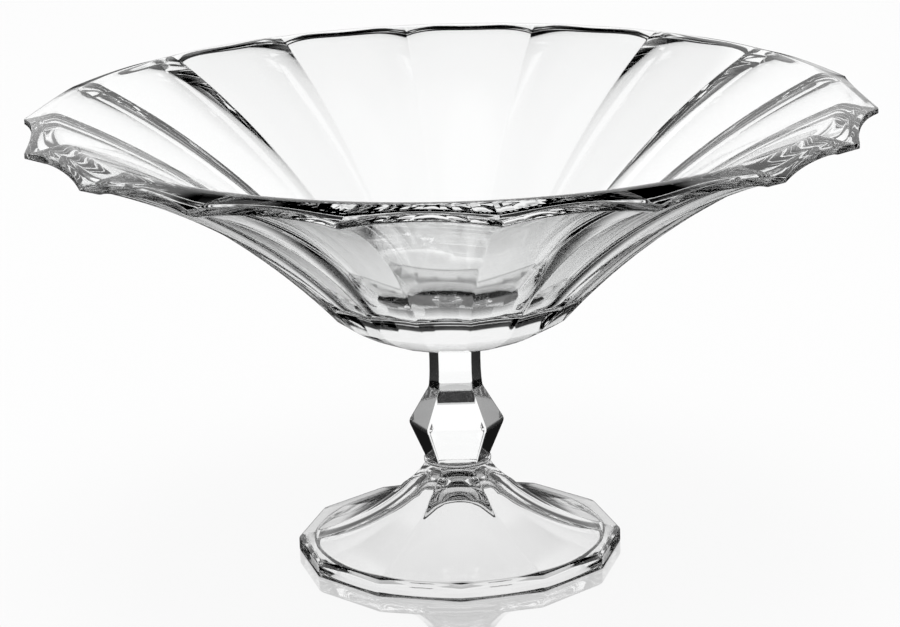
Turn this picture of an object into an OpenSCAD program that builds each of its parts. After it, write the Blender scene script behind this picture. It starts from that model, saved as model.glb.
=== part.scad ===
// Footed trifle bowl in clear glass: fluted bowl, six-sided stem, twelve-sided foot
// Millimetres, +Z up, origin at the centre of the foot's underside

/* [Bowl] */
// Distance across the rim, ridge to opposite ridge
rim_d = 310; // [280:1:350]
// Height of the bowl alone, underside to inner rim edge
bowl_h = 86.7; // [80:0.1:96]
// Number of flutes round the bowl
flute_count = 18; // [14:2:24]
// Turn of the flutes against the flats of the stem
flute_turn = 6.2; // [0:0.1:20]
// Radius of a flute's hollow across its width
flute_r = 160; // [140:1:200]
// Radius of a flute's hollow along its length, base to rim
flare_r = 270; // [255:1:300]
// Width of the sloping rim face at a ridge
rim_w = 12.7; // [11:0.1:14]
// Drop of the rim face from its inner edge to a ridge
rim_fall = 4.2; // [3:0.1:5]
// Height of the upright lip under the rim face at a ridge
lip_h = 1.8; // [1.2:0.1:2.4]
// Dip of the rim's outline between two ridges
rim_dip = 2.75; // [2:0.05:3.5]
// Radius at which the ridges start above the underside
heel_r = 44.2; // [41:0.1:48]
// Height at which the ridges start above the underside
heel_h = 8.8; // [7:0.1:10]
// Radius of the flat patch under the bowl
base_r = 27; // [24:0.5:30]
// Thickness of the glass under the middle of the bowl
floor_t = 24; // [19:0.1:27]
// Radius of the low dome that the bowl's floor rises to
dome_r = 260; // [200:5:400]
// Radius of the round between the floor and the flare
floor_round = 5; // [3:0.5:8]

/* [Stem] */
// Angle about the axis that the stem's wide front and back facets span
front_span = 74; // [62:1:84]
// Distance across two opposite corners of the neck's ends
neck_d = 19.8; // [17:0.1:22]
// Narrowing of a neck corner at mid height
neck_waist = 0.3; // [0.1:0.05:0.6]
// Height of the neck
neck_h = 20.2; // [15:0.1:26]
// Height of the knop
knop_h = 27.2; // [23:0.1:32]
// Distance across two opposite corners of the knop's widest band
knop_d = 35.3; // [31:0.1:40]
// Height of the knop's blunt band
knop_band = 1.2; // [0.8:0.1:2]
// Height of the band's middle above the knop's underside
knop_mid = 13.7; // [12:0.1:16]
// Distance across two opposite corners of the knop's underside
knop_base_d = 24; // [22:0.1:26]
// Thickness of each clear bond film
bond_t = 0.2; // [0.15:0.05:0.4]

/* [Foot] */
// Number of corners round the foot, every other one fading out up the panels
foot_sides = 12; // [12:2:16]
// Distance across two opposite corners of the foot
foot_d = 120.4; // [112:0.1:134]
// Height of the foot, underside to collar top
foot_h = 35.6; // [33:0.1:40]
// Height of the foot's upright edge
edge_h = 5; // [4:0.1:6]
// Size of the bevel over that edge
edge_bevel = 1.3; // [0.8:0.1:1.8]
// Radius of the hollow sweep of the foot's main ridges
panel_r = 73; // [64:1:90]
// Distance across two opposite corners where panels and throat meet
throat_d = 40.4; // [37:0.1:44]
// Height at which panels and throat meet
throat_h = 25.8; // [23.5:0.1:27]
// Radius of the hollow sweep of the throat's corners
throat_r = 24; // [20:0.5:40]
// Diameter of the round collar
collar_d = 25; // [24.2:0.1:27]
// Step from the throat's corners out to the collar
collar_step = 0.6; // [0.3:0.1:1]
// Height of the round collar
collar_h = 1.6; // [1.2:0.1:2.4]
// Width of the flat ring that the foot stands on, at a corner
ring_w = 7.2; // [6:0.1:8.5]
// Height of the upright step inside that ring
step_h = 3; // [2:0.1:3.6]
// Radius at which the bell under the foot turns into its round cap
cap_r = 18; // [16:0.5:21]

/* [Hidden] */
$fn = 96;
// Large arcs get finer steps
fine = 300;
// Cutters run this far past what they cut
over = 2;
knop_z = foot_h + bond_t;
neck_z = knop_z + knop_h;
stem_top = neck_z + neck_h;
bowl_z = stem_top + bond_t;
rim_z = bowl_z + bowl_h;
rim_r = rim_d / 2;
inner_r = rim_r - rim_w;
half_step = 180 / flute_count;

// Centre of the circles of radius rp about p and rq about q that lies right of the way from p to q
function meet(p, rp, q, rq) =
    let (v = q - p, l = norm(v), a = (l * l + rp * rp - rq * rq) / (2 * l), u = v / l)
    p + a * u + sqrt(rp * rp - a * a) * [u[1], -u[0]];

// The flute's bed is part of a ring: its tube has radius flute_r, and its two ridge ends fix its centre
heel_z = bowl_z + heel_h;
ridge_z = rim_z - rim_fall - lip_h;
ring_r = flare_r - flute_r;
function bed_point(r, z) = [r * cos(half_step), z];
function bed_reach(r) = ring_r + sqrt(pow(flute_r, 2) - pow(r * sin(half_step), 2));
bed = meet(bed_point(heel_r, heel_z), bed_reach(heel_r), bed_point(rim_r, ridge_z), bed_reach(rim_r));
// Angles, seen from the bed's centre, between which the bed has to cut
bed_from = atan2(rim_z - bed[1], rim_r + rim_w - bed[0]);
bed_to = atan2(bowl_z - bed[1], base_r - bed[0]);
bed_depth = 28;

// Scallops of the rim's outline
dip_half = rim_r * sin(half_step);
dip_r = (pow(dip_half, 2) + pow(rim_dip, 2)) / (2 * rim_dip);
dip_x = rim_r * cos(half_step) - rim_dip + dip_r;

// The bowl's underside is part of a ball through the flat patch's edge and the heel
under_c = (pow(heel_r, 2) - pow(base_r, 2) + pow(heel_h, 2)) / (2 * heel_h);
under_r = norm([base_r, under_c]);

// The inside flares about the bed's own centre and meets the domed floor in a round
inner_flare = norm([inner_r - bed[0], rim_z - bed[1]]);
dome_c = [0, bowl_z + floor_t - dome_r];
round_c = meet(bed, inner_flare + floor_round, dome_c, dome_r + floor_round);
function touch(c) = round_c + floor_round * (c - round_c) / norm(c - round_c);
dome_end = touch(dome_c);
flare_end = touch(bed);

// Knop heights
band_low = knop_z + knop_mid - knop_band / 2;
band_high = band_low + knop_band;
// Stem section: six corners on a circle, and for each facet its direction and its share of the corner radius
side_half = (180 - front_span) / 4;
front_half = front_span / 2;
stem_corners = [for (turn = [0, 180], a = [0, 90 - front_half, 90 + front_half]) turn + a];
stem_facets = [for (turn = [0, 180], f = [[side_half, side_half], [90, front_half], [180 - side_half, side_half]])
    [turn + f[0], cos(f[1])]];

// Foot profile, measured at a main corner, from the edge up to the collar
collar_z = foot_h - collar_h;
edge_r = foot_d / 2;
panel_end = [edge_r - edge_bevel, edge_h + edge_bevel];
panel_top = [throat_d / 2, throat_h];
throat_top = [collar_d / 2 - collar_step, collar_z];
// Points of the hollow arc of radius r from p up to q, in n steps, without p itself
function sweep(p, q, r, n) =
    let (c = meet(p, r, q, r), from = atan2(p[1] - c[1], p[0] - c[0]), to = atan2(q[1] - c[1], q[0] - c[0]))
    [for (i = [1 : n]) c + r * [cos(from + (to - from) * i / n), sin(from + (to - from) * i / n)]];
panel_steps = 10;
throat_steps = 5;
foot_rows = concat(
    [[edge_r, 0], [edge_r, edge_h], panel_end],
    sweep(panel_end, panel_top, panel_r, panel_steps),
    sweep(panel_top, throat_top, throat_r, throat_steps),
    [[throat_top[0], collar_z + collar_h / 2]]
);
edge_rows = 3;
last_row = len(foot_rows) - 1;
// Every other corner sinks into the flat between its neighbours, from the edge to the throat
flat_share = cos(360 / foot_sides) + 0.003;
function corner_share(row, i) =
    i % 2 == 0 ? 1 : 1 - (1 - flat_share) * min(1, max(0, row - edge_rows + 1) / panel_steps);
// Over the step the bell under the foot runs even with the main ridges, and it closes in part of a ball
hollow_r = foot_d / 2 - ring_w;
panel_c = meet(panel_end, panel_r, panel_top, panel_r);
bell_r = norm([hollow_r, step_h] - panel_c);
cap_slope = asin((panel_c[0] - cap_r) / bell_r);
cap_z = panel_c[1] - bell_r * cos(cap_slope);
cap_ball = cap_r / sin(cap_slope);

// Removes what lies outside the slanting line from p to q, given at a corner, on every facet of the stem
module facet_cut(p, q) {
    reach = 3 * norm(p);
    for (f = stem_facets) {
        low = [p[0] * f[1], p[1]];
        way = [q[0] * f[1], q[1]] - low;
        rotate(f[0])
            translate([low[0], 0, low[1]])
                rotate([0, atan2(way[0], way[1]), 0])
                    translate([0, -reach / 2, -over])
                        cube([reach, reach, norm(way) + 2 * over]);
    }
}

// Hollows each facet of the neck with a lying round bar
module waist_cut() {
    for (f = stem_facets) {
        sag = neck_waist * f[1];
        waist_r = (pow(neck_h / 2, 2) + pow(sag, 2)) / (2 * sag);
        rotate(f[0])
            translate([neck_d / 2 * f[1] - sag + waist_r, 0, neck_z + neck_h / 2])
                rotate([90, 0, 0])
                    cylinder(r = waist_r, h = 2 * neck_d, center = true, $fn = fine);
    }
}

module prism(d, from, to) {
    translate([0, 0, from])
        linear_extrude(height = to - from)
            polygon([for (a = stem_corners) d / 2 * [cos(a), sin(a)]]);
}

// Half section of the bowl before its flutes are cut
module bowl_blank() {
    top_r = rim_r + over;
    rotate_extrude($fn = fine) {
        intersection() {
            translate([0, bowl_z + under_c])
                circle(r = under_r, $fn = fine);
            translate([0, bowl_z])
                square([heel_r + over, heel_h + over]);
        }
        polygon([
            [0, heel_z],
            [heel_r, heel_z],
            [heel_r + over, heel_z + over / 2],
            [top_r, ridge_z - 3 * over],
            [top_r, rim_z - rim_fall * (top_r - inner_r) / rim_w],
            [inner_r, rim_z],
            [0, rim_z]
        ]);
    }
}

// Half section of the inside: a flare, a round and a domed floor
module bowl_inside() {
    low_z = round_c[1] - floor_round - over;
    rotate_extrude($fn = fine) {
        difference() {
            translate([0, flare_end[1]])
                square([inner_r + over, rim_z + over - flare_end[1]]);
            translate(bed)
                circle(r = inner_flare, $fn = fine);
            translate(dome_c)
                circle(r = dome_r, $fn = fine);
        }
        intersection() {
            translate(round_c)
                circle(r = floor_round, $fn = fine);
            translate([dome_end[0], low_z])
                square([flare_end[0] - dome_end[0], flare_end[1] - low_z]);
        }
        difference() {
            translate([0, low_z])
                square([dome_end[0], flare_end[1] - low_z]);
            translate(dome_c)
                circle(r = dome_r, $fn = fine);
        }
    }
}

// One flute's bed, a slice of a ring
module flute_bed() {
    translate([bed[0], 0, bed[1]])
        rotate([90, 0, 0])
            rotate(bed_from)
                rotate_extrude(angle = bed_to - bed_from, $fn = fine)
                    intersection() {
                        translate([ring_r, 0])
                            circle(r = flute_r, $fn = fine);
                        translate([flare_r - bed_depth, -flute_r])
                            square([bed_depth + over, 2 * flute_r]);
                    }
}

module bowl() {
    color("lightcyan")
        difference() {
            bowl_blank();
            bowl_inside();
            for (i = [0 : flute_count - 1])
                rotate(flute_turn + i * 2 * half_step) {
                    flute_bed();
                    translate([dip_x, 0, ridge_z - 4 * over])
                        cylinder(r = dip_r, h = rim_z, $fn = fine);
                }
        }
}

module bowl_bond() {
    color("aliceblue")
        prism(neck_d, stem_top, bowl_z);
}

module stem() {
    color("paleturquoise") {
        difference() {
            prism(knop_d, knop_z, neck_z);
            facet_cut([knop_d / 2, band_high], [neck_d / 2, neck_z]);
            facet_cut([knop_base_d / 2, knop_z], [knop_d / 2, band_low]);
        }
        difference() {
            prism(neck_d, neck_z, stem_top);
            waist_cut();
        }
    }
}

module foot_bond() {
    color("aliceblue")
        prism(knop_base_d, foot_h, knop_z);
}

// The foot's outside, a stack of rings of corners
module foot_skin() {
    n = foot_sides;
    points = [
        for (row = [0 : last_row], i = [0 : n - 1])
            let (r = foot_rows[row][0] * corner_share(row, i), a = i * 360 / n)
            [r * cos(a), r * sin(a), foot_rows[row][1]]
    ];
    sides = [
        for (row = [0 : last_row - 1], i = [0 : n - 1], half = [0, 1])
            let (a = row * n + i, b = row * n + (i + 1) % n)
            half == 0 ? [a, a + n, b + n] : [a, b + n, b]
    ];
    under = [for (i = [0 : n - 1]) i];
    top = [for (i = [n - 1 : -1 : 0]) last_row * n + i];
    polyhedron(points, concat([under, top], sides));
}

// Half section of the hollow under the foot
module foot_bell() {
    rotate_extrude($fn = fine) {
        difference() {
            translate([0, -over])
                square([hollow_r, cap_z + over]);
            translate(panel_c)
                circle(r = bell_r, $fn = fine);
        }
        intersection() {
            translate([0, cap_z - cap_ball * cos(cap_slope)])
                circle(r = cap_ball, $fn = fine);
            translate([0, cap_z])
                square([cap_r, cap_ball]);
        }
    }
}

module foot() {
    color("powderblue")
        difference() {
            union() {
                foot_skin();
                translate([0, 0, collar_z])
                    cylinder(d = collar_d, h = collar_h);
            }
            foot_bell();
        }
}

bowl();
bowl_bond();
stem();
foot_bond();
foot();
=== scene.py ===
import math
import bmesh
import bpy
from mathutils import Matrix, Vector


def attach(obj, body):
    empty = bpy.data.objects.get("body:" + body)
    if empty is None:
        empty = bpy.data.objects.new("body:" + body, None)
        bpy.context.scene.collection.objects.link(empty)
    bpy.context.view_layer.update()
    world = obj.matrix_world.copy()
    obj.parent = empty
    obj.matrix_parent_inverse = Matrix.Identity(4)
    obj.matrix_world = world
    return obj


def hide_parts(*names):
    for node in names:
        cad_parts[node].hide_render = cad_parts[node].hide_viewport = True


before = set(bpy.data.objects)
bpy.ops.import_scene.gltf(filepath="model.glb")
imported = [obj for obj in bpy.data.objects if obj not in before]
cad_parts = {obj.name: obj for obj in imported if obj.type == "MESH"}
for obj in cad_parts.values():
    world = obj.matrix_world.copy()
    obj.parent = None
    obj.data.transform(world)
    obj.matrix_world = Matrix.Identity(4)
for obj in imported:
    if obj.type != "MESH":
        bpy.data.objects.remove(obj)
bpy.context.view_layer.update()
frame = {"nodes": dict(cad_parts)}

scene = bpy.context.scene
scene.view_settings.view_transform = "Standard"
mm = 0.001
print("frame loaded:", ", ".join(frame["nodes"]))


# Shader wires

class Wire:
    def __init__(self, tree, socket=None):
        self.tree = tree
        self.socket = socket

    def node(self, kind, settings=None, sockets=None, out=0):
        made = self.tree.nodes.new(kind)
        for key, value in (settings or {}).items():
            if key == "stops":
                ramp = made.color_ramp
                while len(ramp.elements) < len(value):
                    ramp.elements.new(0.5)
                for element, (place, colour) in zip(ramp.elements, value):
                    element.position = place
                    element.color = colour
            else:
                setattr(made, key, value)
        for key, value in (sockets or {}).items():
            if isinstance(value, Wire):
                self.tree.links.new(value.socket, made.inputs[key])
            else:
                made.inputs[key].default_value = value
        return Wire(self.tree, made.outputs[out] if made.outputs else None)

    def maths(self, operation, first, second):
        return self.node("ShaderNodeMath", {"operation": operation}, {0: first, 1: second})

    def __add__(self, other):
        return self.maths("ADD", self, other)

    __radd__ = __add__

    def __rsub__(self, other):
        return self.maths("SUBTRACT", other, self)

    def __mul__(self, other):
        return self.maths("MULTIPLY", self, other)

    def step(self, low, high):    # smooth 0 to 1 between two values
        return self.node("ShaderNodeMapRange", {"interpolation_type": "SMOOTHSTEP"},
                         {"Value": self, "From Min": low, "From Max": high})


def newMaterial(name):
    material = bpy.data.materials.new(name)
    material.use_nodes = True
    material.node_tree.nodes.clear()
    return material, Wire(material.node_tree)


# Finishes

clear = (0.993, 0.997, 0.996, 1)
grey = lambda value: (value, value, value, 1)
glassLook = {"ior": 1.52, "waveDetail": 1.5, "smearScale": 9, "smearDetail": 3, "smearSpan": (0.5, 0.8),
             "roughHigh": 0.002}
# wave is the scale and depth of the pressed skin's waviness, edge is painted shade in the glass colour, clear
# square on and darker towards grazing
bowlLook = {"wave": (30, 0.000002), "edge": [(0.0, clear), (0.90, clear), (0.97, grey(0.02))]}
stemLook = {"wave": (60, 0.000001),
            "edge": [(0.0, clear), (0.40, clear), (0.48, grey(0.10)), (0.53, grey(0.004)),
                     (0.58, grey(0.0005))]}
# the foot's even grey is painted shade, standing for the shadowed floor seen through it, and it darkens
# further towards grazing
footLook = {"wave": (45, 0.000003),
            "edge": [(0.0, grey(0.82)), (0.60, grey(0.82)), (0.80, grey(0.30)), (0.95, grey(0.02))]}


def clearGlass(name, look):
    g = glassLook
    material, wire = newMaterial(name)
    place = wire.node("ShaderNodeTexCoord", out="Object")
    waveScale, waveDepth = look["wave"]
    slowWave = wire.node("ShaderNodeTexNoise", None,
                         {"Vector": place, "Scale": waveScale, "Detail": g["waveDetail"]})
    ripple = wire.node("ShaderNodeBump", None, {"Strength": 1.0, "Distance": waveDepth, "Height": slowWave})
    smear = wire.node("ShaderNodeTexNoise", None,
                      {"Vector": place, "Scale": g["smearScale"], "Detail": g["smearDetail"]})
    # painted shade: the glass colour is darkened by the facing angle, to near black at grazing on the bowl
    # and stem, and grey all over on the foot
    facing = wire.node("ShaderNodeLayerWeight", None, {"Blend": 0.5}, out="Facing")
    paintedShade = wire.node("ShaderNodeValToRGB", {"stops": look["edge"]}, {"Fac": facing})
    shader = wire.node("ShaderNodeBsdfPrincipled", None, {
        "Base Color": paintedShade, "Roughness": smear.step(*g["smearSpan"]) * g["roughHigh"], "IOR": g["ior"],
        "Transmission Weight": 1.0, "Normal": ripple})
    wire.node("ShaderNodeOutputMaterial", None, {"Surface": shader})
    return material


def bondedFace(name):    # faces that meet inside the joint, where light passes straight on
    material, wire = newMaterial(name)
    shader = wire.node("ShaderNodeBsdfPrincipled", None, {
        "Base Color": (1, 1, 1, 1), "Alpha": 0.0, "Roughness": 0.0})
    wire.node("ShaderNodeOutputMaterial", None, {"Surface": shader})
    return material


bowlGlass = clearGlass("bowl_glass", bowlLook)
stemGlass = clearGlass("stem_glass", stemLook)
footGlass = clearGlass("foot_glass", footLook)
bondGlass = clearGlass("bond_glass", stemLook)
joinFace = bondedFace("bonded_face")
print("finishes made")


# Mesh helpers

def softMin(a, b, soft):
    return min(a, b) - soft * math.log(1 + math.exp(-abs(a - b) / soft))


def meet(p, rp, q, rq):    # crossing of two circles, right of the way from p to q
    way = q - p
    gap = way.length
    along = (gap * gap + rp * rp - rq * rq) / (2 * gap)
    way = way / gap
    return p + way * along + Vector((way.y, -way.x)) * math.sqrt(rp * rp - along * along)


def rounded(corners, steps=4):    # corners are (radius, height, fillet), curves pass with fillet 0
    path = []
    for i, (r, z, fillet) in enumerate(corners):
        here = Vector((r, z))
        if not fillet:
            path.append(here)
            continue
        back = Vector(corners[i - 1][:2]) - here
        ahead = Vector(corners[i + 1][:2]) - here
        half = back.angle(ahead) / 2
        reach = min(fillet / math.tan(half), 0.45 * back.length, 0.45 * ahead.length)
        a = here + back.normalized() * reach
        b = here + ahead.normalized() * reach
        for k in range(steps + 1):    # quadratic blend over the corner
            t = k / steps
            path.append(a * (1 - t) ** 2 + here * 2 * t * (1 - t) + b * t * t)
    return path


def slopeAt(before, here, after):    # direction of a curve through three points, nearer ones count more
    back, ahead = here - before, after - here
    if back.length < 1e-9 or ahead.length < 1e-9:
        return back + ahead
    return back * (ahead.length / back.length) + ahead * (back.length / ahead.length)


def spunPiece(name, columns, rows, meridian, materials, bondRows):
    bm = bmesh.new()
    column = [bm.verts.new((1, 0, row)) for row in range(rows)]
    edges = [bm.edges.new(pair) for pair in zip(column, column[1:])]
    bmesh.ops.spin(bm, geom=column + edges, cent=(0, 0, 0), axis=(0, 0, 1), dvec=(0, 0, 0),
                   angle=2 * math.pi, steps=columns, use_merge=True)
    for face in bm.faces:    # the bonded patch is the rows under bondRows
        if max(v.co.z for v in face.verts) < bondRows + 0.5:
            face.material_index = 1
    grid = []
    for k in range(columns):
        angle, path = meridian(k)
        grid.append([Vector((r * math.cos(angle), r * math.sin(angle), z)) for r, z in path])
    curve = bm.verts.layers.float_vector.new("curve_normal")
    for v in bm.verts:
        k = round(math.atan2(v.co.y, v.co.x) / (2 * math.pi) * columns) % columns
        row = round(v.co.z)
        v.co = grid[k][row] * mm
        if 0 < row < rows - 1:
            around = slopeAt(grid[k - 1][row], grid[k][row], grid[(k + 1) % columns][row])
            v[curve] = around.cross(slopeAt(*grid[k][row - 1:row + 2])).normalized()
    bmesh.ops.remove_doubles(bm, verts=bm.verts[:], dist=1e-6)
    bmesh.ops.recalc_face_normals(bm, faces=bm.faces[:])
    bm.normal_update()
    normals = []
    for v in bm.verts:
        side = v[curve].dot(v.normal)
        normals.append(v[curve] * math.copysign(1, side) if v[curve].length > 0.5 else v.normal.copy())
    bm.verts.layers.float_vector.remove(curve)
    for face in bm.faces:
        face.smooth = True
    piece = finishPiece(name, bm, materials)
    piece.data.normals_split_custom_set_from_vertices(normals)
    return piece


def finishPiece(name, bm, materials):
    mesh = bpy.data.meshes.new(name)
    bm.to_mesh(mesh)
    bm.free()
    piece = bpy.data.objects.new(name, mesh)
    scene.collection.objects.link(piece)
    for material in materials:
        mesh.materials.append(material)
    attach(piece, "root")
    print(name, len(mesh.polygons), "faces")
    return piece


def weighNormals(piece):
    weigh = piece.modifiers.new("weigh_normals", "WEIGHTED_NORMAL")
    weigh.mode = "FACE_AREA"
    weigh.weight = 80
    weigh.keep_sharp = True


def gathered(u, pull):    # spaces columns closer to the two ends of a flute or panel
    return u - pull * math.sin(2 * math.pi * u) / (2 * math.pi)


def onCircle(centre, radius, t):    # a point of a curve for rounded
    return centre.x + radius * math.cos(t), centre.y + radius * math.sin(t), 0


# Section of the stem: six corners on a circle, the front and back facets wider than the four at the sides

frontSpan = math.radians(74)


def stemRadius(angle, corner):
    narrow = (math.pi - frontSpan) / 4
    turn = angle % math.pi
    if abs(turn - math.pi / 2) < frontSpan / 2:
        return corner * math.cos(frontSpan / 2) / math.cos(turn - math.pi / 2)
    middle = narrow if turn < math.pi / 2 else math.pi - narrow
    return corner * math.cos(narrow) / math.cos(turn - middle)


def loft(levels):    # levels are (height, corner radius), the two end faces are bonded
    bm = bmesh.new()
    low, corner = levels[0]
    place = Matrix.Translation((0, 0, low * mm)) @ Matrix.Rotation(math.pi / 2, 4, "Z")
    bmesh.ops.create_circle(bm, segments=6, radius=corner * mm, matrix=place)
    for v in bm.verts:    # the four corners off the x axis bound the wide facets
        if abs(v.co.y) > mm:
            v.co.x = math.copysign(corner * mm * math.sin(frontSpan / 2), v.co.x)
            v.co.y = math.copysign(corner * mm * math.cos(frontSpan / 2), v.co.y)
    ring = bm.edges[:]
    for z, nextCorner in levels[1:]:
        out = bmesh.ops.extrude_edge_only(bm, edges=ring)["geom"]
        rim = [g for g in out if isinstance(g, bmesh.types.BMVert)]
        grow = nextCorner / corner
        bmesh.ops.scale(bm, vec=(grow, grow, 1), verts=rim)
        bmesh.ops.translate(bm, vec=(0, 0, (z - low) * mm), verts=rim)
        ring = [g for g in out if isinstance(g, bmesh.types.BMEdge)]
        low, corner = z, nextCorner
    bmesh.ops.holes_fill(bm, edges=[e for e in bm.edges if e.is_boundary], sides=0)
    bmesh.ops.recalc_face_normals(bm, faces=bm.faces[:])
    for face in bm.faces:
        face.material_index = 1 if abs(face.normal.z) > 0.99 else 0
    return bm


# Bowl

bowl = {"flutes": 18, "turn": math.radians(6.2), "rimRadius": 155.0, "rimTop": 170.1, "under": 83.4,
        "rimWidth": 12.7, "rimFall": 4.2, "rimRound": 8.0, "rimArch": 0.4, "lip": 0.7, "lipLowRound": 0.4,
        "lipTopRound": 0.5, "dip": 2.75, "heelRadius": 44.2, "heelRise": 8.8, "heelRound": 0.8,
        "baseRadius": 27.0, "baseRound": 1.0, "floor": 107.4, "dome": 260.0, "floorRound": 5.0,
        "fluteRadius": 160.0, "flareRadius": 270.0, "stepIn": 2.8, "stepRound": 4.5, "stepWide": 4.0,
        "stepHigh": 1.25, "neckCorner": 9.9, "ridgeSoft": 0.12, "fluteColumns": 24, "gather": 0.85,
        "heelRows": 6, "wallRows": 34, "wallGather": 0.8, "stepRows": 10, "lipRows": 4, "faceRows": 5,
        "rollRows": 10, "insideRows": 44, "insideGather": 1.15, "roundRows": 8, "domeRows": 12}


def makeBowl():
    b = bowl
    half = math.pi / b["flutes"]
    ringRadius = b["flareRadius"] - b["fluteRadius"]
    ridgeTop = b["rimTop"] - b["rimFall"] - b["lip"]
    innerRadius = b["rimRadius"] - b["rimWidth"]
    reach = lambda r: ringRadius + math.sqrt(b["fluteRadius"] ** 2 - (r * math.sin(half)) ** 2)
    heel = Vector((b["heelRadius"] * math.cos(half), b["under"] + b["heelRise"]))
    ridge = Vector((b["rimRadius"] * math.cos(half), ridgeTop))
    bed = meet(heel, reach(b["heelRadius"]), ridge, reach(b["rimRadius"]))
    dipHalf = b["rimRadius"] * math.sin(half)
    dipRadius = (dipHalf ** 2 + b["dip"] ** 2) / (2 * b["dip"])
    dipX = b["rimRadius"] * math.cos(half) - b["dip"] + dipRadius
    ballRise = (b["heelRadius"] ** 2 - b["baseRadius"] ** 2 + b["heelRise"] ** 2) / (2 * b["heelRise"])
    ball = math.hypot(b["baseRadius"], ballRise)
    flare = math.hypot(innerRadius - bed.x, b["rimTop"] - bed.y)
    # the flare meets the domed floor in a round
    domeCentre = Vector((0, b["floor"] - b["dome"]))
    hollow = meet(bed, flare + b["floorRound"], domeCentre, b["dome"] + b["floorRound"])
    hollowFrom = math.atan2(bed.y - hollow.y, bed.x - hollow.x)
    hollowTo = math.atan2(domeCentre.y - hollow.y, domeCentre.x - hollow.x)
    wallFoot = hollow.y + b["floorRound"] * math.sin(hollowFrom)
    domeEnd = hollow.x + b["floorRound"] * math.cos(hollowTo)

    def bedAt(z, a):
        r = b["rimRadius"]
        for _ in range(8):
            tube = ringRadius + math.sqrt(b["fluteRadius"] ** 2 - (r * math.sin(a)) ** 2)
            room = tube ** 2 - (z - bed.y) ** 2
            if room < 0:    # this flute ends lower down
                return 2 * b["rimRadius"]
            r = (bed.x - math.sqrt(room)) / math.cos(a)
        return r

    def wallAt(z, a):    # own flute and the next one, softened where they meet in a ridge
        a = abs(a)
        return softMin(bedAt(z, a), bedAt(z, 2 * half - a), b["ridgeSoft"])

    def outline(a):
        a = abs(a)
        dipAt = lambda t: dipX * math.cos(t) - math.sqrt(dipRadius ** 2 - (dipX * math.sin(t)) ** 2)
        return softMin(dipAt(a), dipAt(2 * half - a), b["ridgeSoft"])

    def balance(f, low, high):    # where f changes sign between low and high
        for _ in range(40):
            mid = (low + high) / 2
            low, high = (mid, high) if f(mid) < 0 else (low, mid)
        return low

    # the inner rim edge is rolled over with a round that touches the rim face and the flare
    corner = Vector((innerRadius, b["rimTop"]))
    lean = math.atan2(b["rimFall"], b["rimWidth"])
    outward = Vector((math.cos(lean), -math.sin(lean)))
    upward = Vector((math.sin(lean), math.cos(lean)))
    rollAt = lambda t: corner + outward * t - upward * b["rimRound"]
    roll = rollAt(balance(lambda t: (flare - b["rimRound"]) - (rollAt(t) - bed).length, 0, 12))
    rollStart = math.atan2(upward.y, upward.x)
    rollEnd = math.atan2(roll.y - bed.y, roll.x - bed.x)
    insideTop = bed + (roll - bed).normalized() * flare
    ballRadius = lambda z: math.sqrt(ball ** 2 - (b["under"] + ballRise - z) ** 2)
    known = {}

    def skin(a):    # section from the heel over the rim to the middle of the floor
        key = round(abs(a), 6)
        if key in known:
            return known[key]
        facet = math.cos(half) / math.cos(a)    # the underside is as many-sided as the flutes
        heelZ = balance(lambda z: ballRadius(z) * facet - wallAt(z, a), b["under"] + 2, b["under"] + 12)
        edge = outline(a)
        lipZ = balance(lambda z: wallAt(z, a) - edge, ridgeTop - 4, ridgeTop + 4)
        rise = b["rimArch"] * (1 - (a / half) ** 2)
        faceZ = b["rimTop"] - b["rimFall"] * (edge - innerRadius) / b["rimWidth"] + rise
        corners = [(b["baseRadius"] * facet, b["under"], b["baseRound"])]
        for k in range(1, b["heelRows"]):
            z = b["under"] + (heelZ - b["under"]) * k / b["heelRows"]
            corners.append((ballRadius(z) * facet, z, 0))
        corners.append((ballRadius(heelZ) * facet, heelZ, b["heelRound"]))
        # the flute ends in a small step under the lip, rounded off towards the ridges
        lipIn = b["stepIn"] + b["stepRound"] * (abs(a) / half) ** 4
        inFromEdge = lambda way: balance(lambda z: wallAt(z, a) - edge + way, lipZ - 12, lipZ)
        stepLow, stepTop = inFromEdge(lipIn + b["stepWide"]), inFromEdge(lipIn)
        for k in range(1, b["wallRows"] + 1):
            z = heelZ + (stepLow - heelZ) * (k / b["wallRows"]) ** b["wallGather"]
            corners.append((wallAt(z, a), z, 0))
        for k in range(1, b["stepRows"] + 1):
            t = k / b["stepRows"]
            z = stepLow + (stepTop - stepLow) * t
            corners.append((wallAt(z, a), z - b["stepHigh"] * t * t * (3 - 2 * t), 0))
        for k in range(1, b["lipRows"]):
            z = stepTop + (lipZ - stepTop) * k / b["lipRows"]
            corners.append((wallAt(z, a), z - b["stepHigh"], 0))
        corners.append((edge, lipZ - b["stepHigh"], b["lipLowRound"]))
        corners.append((edge, faceZ, b["lipTopRound"]))
        # rim face, roll, flare, round and dome
        face = roll + upward * b["rimRound"]
        for k in range(1, b["faceRows"]):
            corners.append((edge + (face.x - edge) * k / b["faceRows"],
                            faceZ + (face.y - faceZ) * k / b["faceRows"], 0))
        for k in range(b["rollRows"] + 1):
            t = rollStart + (rollEnd - rollStart) * k / b["rollRows"]
            corners.append(onCircle(roll, b["rimRound"], t))
        for k in range(1, b["insideRows"]):
            z = insideTop.y + (wallFoot - insideTop.y) * (k / b["insideRows"]) ** b["insideGather"]
            corners.append((bed.x - math.sqrt(flare ** 2 - (z - bed.y) ** 2), z, 0))
        for k in range(b["roundRows"]):
            t = hollowFrom + (hollowTo - hollowFrom) * k / b["roundRows"]
            corners.append(onCircle(hollow, b["floorRound"], t))
        for k in range(b["domeRows"], -1, -1):
            r = domeEnd * k / b["domeRows"]
            corners.append((r, domeCentre.y + math.sqrt(b["dome"] ** 2 - r * r), 0))
        known[key] = rounded([(0, b["under"], 0)] + corners)[1:]
        return known[key]

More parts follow.
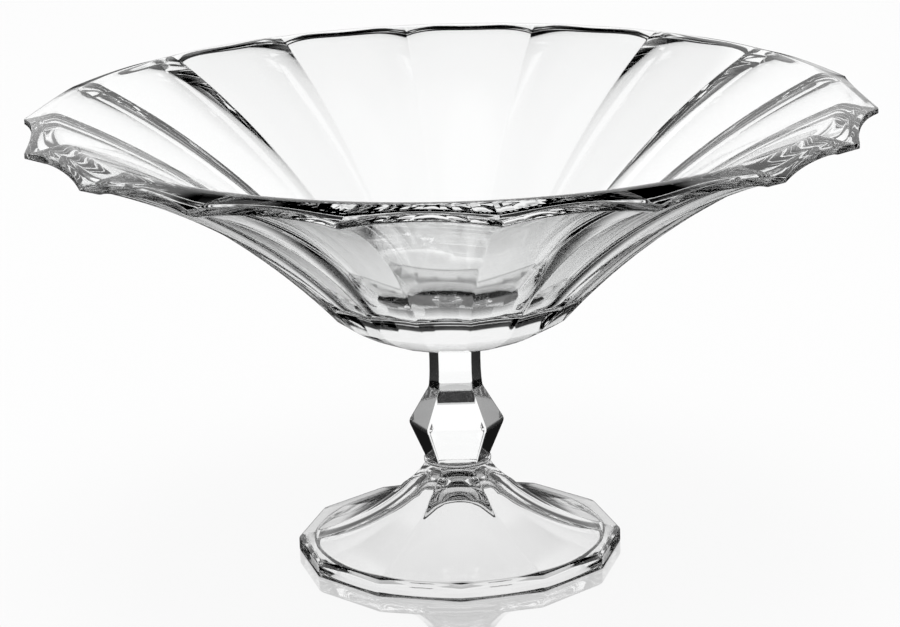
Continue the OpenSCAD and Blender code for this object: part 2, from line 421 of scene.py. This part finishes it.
    def meridian(k):
        flute, part = divmod(k, b["fluteColumns"])
        a = (gathered(part / b["fluteColumns"], b["gather"]) - 0.5) * 2 * half
        angle = b["turn"] + flute * 2 * half + a
        neck = stemRadius(angle, b["neckCorner"])
        # rings on the flat underside, the first two rows between them are bonded to the neck
        rings = (0, neck * 0.5, neck, neck * 1.02, b["baseRadius"] * 0.7)
        return angle, [Vector((r, b["under"])) for r in rings] + skin(a)

    rows = len(meridian(0)[1])
    columns = b["flutes"] * b["fluteColumns"]
    piece = spunPiece("bowl_fluted", columns, rows, meridian, [bowlGlass, joinFace], 2)
    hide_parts("bowl")


makeBowl()


# Stem, neck and knop in one

stem = {"levels": [(35.8, 12.0), (48.9, 17.65), (50.1, 17.65), (62.4, 10.4), (63.2, 10.05), (64.4, 9.95),
                   (66.0, 9.8), (69.0, 9.65), (73.1, 9.6), (78.0, 9.68), (83.2, 9.9)],
        "edge": 0.6, "edgeSteps": 4, "crispFrom": math.radians(8)}


def makeStem():
    s = stem
    bm = loft(s["levels"])
    crisp = [e for e in bm.edges if e.calc_face_angle(0) > s["crispFrom"]
             and all(f.material_index == 0 for f in e.link_faces)]
    bmesh.ops.bevel(bm, geom=crisp, offset=s["edge"] * mm, offset_type="OFFSET", affect="EDGES",
                    segments=s["edgeSteps"], profile=0.5, material=-1, clamp_overlap=True)
    for face in bm.faces:
        face.smooth = face.material_index == 0
    piece = finishPiece("stem_knop", bm, [stemGlass, joinFace])
    weighNormals(piece)
    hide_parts("stem")


makeStem()


# Bond films, clear all through, as low height, high height and corner radius

bonds = {"bowl_bond": (83.2, 83.4, 9.9), "foot_bond": (35.6, 35.8, 12.0)}


def makeBond(node):
    low, high, corner = bonds[node]
    bm = loft([(low, corner), (high, corner)])
    piece = finishPiece(node + "_film", bm, [bondGlass, joinFace])
    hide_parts(node)


for node in bonds:
    makeBond(node)


# Foot

# bead is the collar's round upright side, as steps in from its radius and down from the top
foot = {"sides": 12, "corner": 60.2, "edge": 5.0, "bevel": 1.3, "edgeRound": 1.5, "soleRound": 0.7,
        "sweep": 73.0, "throatCorner": 20.2, "throatRise": 25.8, "throatSweep": 24.0, "collarRadius": 12.5,
        "collarStep": 0.6, "collarLow": 34.0, "top": 35.6,
        "bead": [(0.3, 0.0), (0.05, 0.3), (0.0, 0.8), (0.08, 1.3)], "knopCorner": 12.0, "ring": 7.2,
        "ringRound": 0.4, "step": 3.0, "stepRound": 0.5, "capRadius": 18.0, "cornerSoft": 0.16,
        "panelColumns": 14, "gather": 0.85, "panelRows": 22, "throatRows": 10, "bellRows": 24, "capRows": 12}


def makeFoot():
    f = foot
    half = math.pi / f["sides"]
    flat = math.cos(2 * half)
    hollowRadius = f["corner"] - f["ring"]
    panelEnd = Vector((f["corner"] - f["bevel"], f["edge"] + f["bevel"]))
    panelTop = Vector((f["throatCorner"], f["throatRise"]))
    throatTop = Vector((f["collarRadius"] - f["collarStep"], f["collarLow"]))

    # over an upright step the hollow runs even with the panels, and it closes in a round cap
    sweepCentre = meet(panelEnd, f["sweep"], panelTop, f["sweep"])
    bell = (Vector((hollowRadius, f["step"])) - sweepCentre).length
    bellAt = lambda r: sweepCentre.y - math.sqrt(bell ** 2 - (sweepCentre.x - r) ** 2)
    capSlope = math.asin((sweepCentre.x - f["capRadius"]) / bell)
    cap = f["capRadius"] / math.sin(capSlope)
    capTop = bellAt(f["capRadius"]) + cap * (1 - math.cos(capSlope))

    def sweep(p, q, radius, count):
        c = meet(p, radius, q, radius)
        a = math.atan2(p.y - c.y, p.x - c.x)
        b = math.atan2(q.y - c.y, q.x - c.x)
        return [c + radius * Vector((math.cos(a + (b - a) * k / count), math.sin(a + (b - a) * k / count)))
                for k in range(1, count + 1)]

    # rows of main corner radius, height and how far the in-between corners stand out, 0 on a six-sided throat
    rows = [(p.x, p.y, 1 - k / f["panelRows"]) for k, p in
            enumerate(sweep(panelEnd, panelTop, f["sweep"], f["panelRows"]), 1)]
    rows += [(p.x, p.y, 0) for p in sweep(panelTop, throatTop, f["throatSweep"], f["throatRows"])]

    def cut(angle, corner, stand):
        share = flat + (1 - flat) * stand
        side = 2 * half
        i = math.floor(angle / side)
        along = angle - i * side
        ends = [corner * (share if (i + k) % 2 else 1) for k in (-1, 0, 1, 2)]
        line = lambda r1, r2, t: r1 * r2 * math.sin(side) / (r1 * math.sin(t) + r2 * math.sin(side - t))
        own = line(ends[1], ends[2], along)
        if along < half:
            other = line(ends[0], ends[1], along + side)
        else:
            other = line(ends[2], ends[3], along - side)
        other = other if other > 0 else 1e3    # that side runs away from here
        return softMin(own, other, f["cornerSoft"])

    def meridian(k):
        panel, part = divmod(k, f["panelColumns"])
        angle = (panel + gathered(part / f["panelColumns"], f["gather"])) * 2 * half + 1e-9
        rim = cut(angle, f["corner"], 1)
        brow = cut(angle, panelEnd.x, 1)
        knop = stemRadius(angle, f["knopCorner"])
        corners = [(0, f["top"], 0), (knop * 0.5, f["top"], 0), (knop, f["top"], 0)]
        corners += [(f["collarRadius"] - inward, f["top"] - down, 0) for inward, down in f["bead"]]
        for r, z, stand in reversed(rows):
            corners.append((cut(angle, r, stand), z, 0))
        corners.append((brow, panelEnd.y, f["edgeRound"]))
        corners.append((rim, f["edge"], f["edgeRound"]))
        corners.append((rim, f["edge"] * 0.5, 0))
        corners.append((rim, 0, f["soleRound"]))
        corners.append(((rim + hollowRadius) / 2, 0, 0))
        corners.append((hollowRadius, 0, f["ringRound"]))
        corners.append((hollowRadius, f["step"] * 0.5, 0))
        corners.append((hollowRadius, f["step"], f["stepRound"]))
        for n in range(1, f["bellRows"]):
            r = hollowRadius + (f["capRadius"] - hollowRadius) * n / f["bellRows"]
            corners.append((r, bellAt(r), 0))
        for n in range(f["capRows"]):
            t = capSlope * (1 - n / f["capRows"])
            corners.append((cap * math.sin(t), capTop - cap * (1 - math.cos(t)), 0))
        corners.append((0, capTop, 0))
        return angle, rounded(corners)

    count = len(meridian(0)[1])
    columns = f["sides"] * f["panelColumns"]
    piece = spunPiece("foot_panelled", columns, count, meridian, [footGlass, joinFace], 2)
    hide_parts("foot")


makeFoot()


# Camera, fitted to the photograph

view = {"place": (0, -1.2549, 0.4568), "pitch": 0.284, "roll": -0.028, "lens": 142.17, "shift": -0.0040}
camera = bpy.data.cameras.new("camera")
camera.lens = view["lens"]
camera.sensor_width = 36
camera.shift_x = view["shift"]
cameraObject = bpy.data.objects.new("camera", camera)
cameraObject.location = view["place"]
cameraObject.rotation_euler = (Matrix.Rotation(math.pi / 2 - view["pitch"], 3, "X")
                               @ Matrix.Rotation(view["roll"], 3, "Z")).to_euler()
scene.collection.objects.link(cameraObject)
scene.camera = cameraObject
print("camera set")


# Studio

# sky is brightness by height, from straight down at 0 over the horizon at 0.5 to straight up at 1
studio = {"floorSize": 8.0, "ambient": 0.5,
          "lampPlace": (0, 0.1, 1.6), "lampAim": (0, 0, 0.08), "lampSize": 1.0, "lampPower": 14,
          "sky": [(0.0, 0.0), (0.13, 0.0), (0.16, 0.20), (0.22, 1.05), (0.555, 1.05), (0.575, 0.5),
                  (0.595, 0.04), (0.66, 0.06), (0.80, 0.0), (0.97, 0.0), (0.99, 0.4), (1.0, 0.4)],
          "mirrorFrom": 0.10, "mirrorTo": 0.65, "mirrorSoft": 0.06, "dimSpan": (-0.1, 0.05), "dimGloss": 0.03,
          "under": (-0.74, -0.56), "underWhite": 0.8,
          "glow": 0.86, "mirror": 0.38, "mirrorFacing": (0.38, 0.66)}


def rayKind(wire, *kinds):    # 1 for rays of the kinds named
    total = sum(wire.node("ShaderNodeLightPath", out="Is " + kind + " Ray") for kind in kinds)
    return wire.node("ShaderNodeClamp", None, {"Value": total})


def makeWorld():
    world = bpy.data.worlds.new("studio")
    scene.world = world
    world.use_nodes = True
    world.node_tree.nodes.clear()
    wire = Wire(world.node_tree)
    way = wire.node("ShaderNodeTexCoord", out="Generated")
    up = wire.node("ShaderNodeSeparateXYZ", None, {"Vector": way}, out="Z")
    sky = wire.node("ShaderNodeValToRGB", {"stops": [(h, grey(v)) for h, v in studio["sky"]]},
                    {"Fac": up * 0.5 + 0.5})
    # what the floor's gloss meets stays as white as the backdrop
    low, high, soft = studio["mirrorFrom"], studio["mirrorTo"], studio["mirrorSoft"]
    outside = rayKind(wire, "Glossy") * (1 - rayKind(wire, "Transmission"))
    mirrored = up.step(low, low + soft) * (1 - up.step(high - soft, high)) * outside
    # below the horizon the outside of the glass mirrors a dim room
    dim = 1 - outside * (1 - up.step(*studio["dimSpan"])) * (1 - studio["dimGloss"])
    # straight through the glass it is pale right underneath too, inner reflections meet the dark
    inner = wire.node("ShaderNodeLightPath", out="Glossy Depth")
    under = wire.maths("LESS_THAN", inner, 0.5) * (1 - up.step(*studio["under"]))
    white = wire.node("ShaderNodeClamp", None, {"Value": mirrored + rayKind(wire, "Camera")})
    seen = rayKind(wire, "Camera", "Glossy", "Transmission")
    shown = (sky * (1 - under) + under * studio["underWhite"]) * dim * (1 - white) + white
    back = wire.node("ShaderNodeBackground", None, {
        "Color": (1, 1, 1, 1), "Strength": seen * shown + (1 - seen) * studio["ambient"]})
    wire.node("ShaderNodeOutputWorld", None, {"Surface": back})


def makeFloor():
    bm = bmesh.new()
    bmesh.ops.create_grid(bm, x_segments=1, y_segments=1, size=studio["floorSize"] / 2)
    mesh = bpy.data.meshes.new("floor")
    bm.to_mesh(mesh)
    bm.free()
    floor = bpy.data.objects.new("floor", mesh)
    scene.collection.objects.link(floor)
    material, wire = newMaterial("pale_floor")
    paint = wire.node("ShaderNodeBsdfPrincipled", None, {"Base Color": (0.9, 0.9, 0.9, 1), "Roughness": 0.3})
    gloss = wire.node("ShaderNodeBsdfPrincipled", None, {
        "Base Color": (1, 1, 1, 1), "Metallic": 1.0, "Roughness": 0.03})
    white = wire.node("ShaderNodeEmission", None, {"Color": (1, 1, 1, 1), "Strength": 1.0})
    onCamera = rayKind(wire, "Camera")
    facing = wire.node("ShaderNodeLayerWeight", None, {"Blend": 0.5}, out="Facing")
    lit = wire.node("ShaderNodeMixShader", None, {0: onCamera * studio["glow"], 1: paint, 2: white})
    mirror = onCamera * facing.step(*studio["mirrorFacing"]) * studio["mirror"]
    mix = wire.node("ShaderNodeMixShader", None, {0: mirror, 1: lit, 2: gloss})
    wire.node("ShaderNodeOutputMaterial", None, {"Surface": mix})
    mesh.materials.append(material)
    floor.visible_transmission = False    # glass shows the backdrop right down to the floor
    floor.visible_glossy = False


def makeLamp():
    lamp = bpy.data.lights.new("top_light", "AREA")
    lamp.size = studio["lampSize"]
    lamp.energy = studio["lampPower"]
    lampObject = bpy.data.objects.new("top_light", lamp)
    lampObject.location = studio["lampPlace"]
    aim = Vector(studio["lampAim"]) - Vector(studio["lampPlace"])
    lampObject.rotation_euler = aim.to_track_quat("-Z", "Y").to_euler()
    lampObject.visible_glossy = lampObject.visible_transmission = False
    scene.collection.objects.link(lampObject)


makeWorld()
makeFloor()
makeLamp()
scene.cycles.max_bounces = 32
scene.cycles.transmission_bounces = 32
scene.cycles.glossy_bounces = 9
scene.cycles.transparent_max_bounces = 32
scene.cycles.caustics_refractive = False
scene.cycles.caustics_reflective = False
print("studio lit")
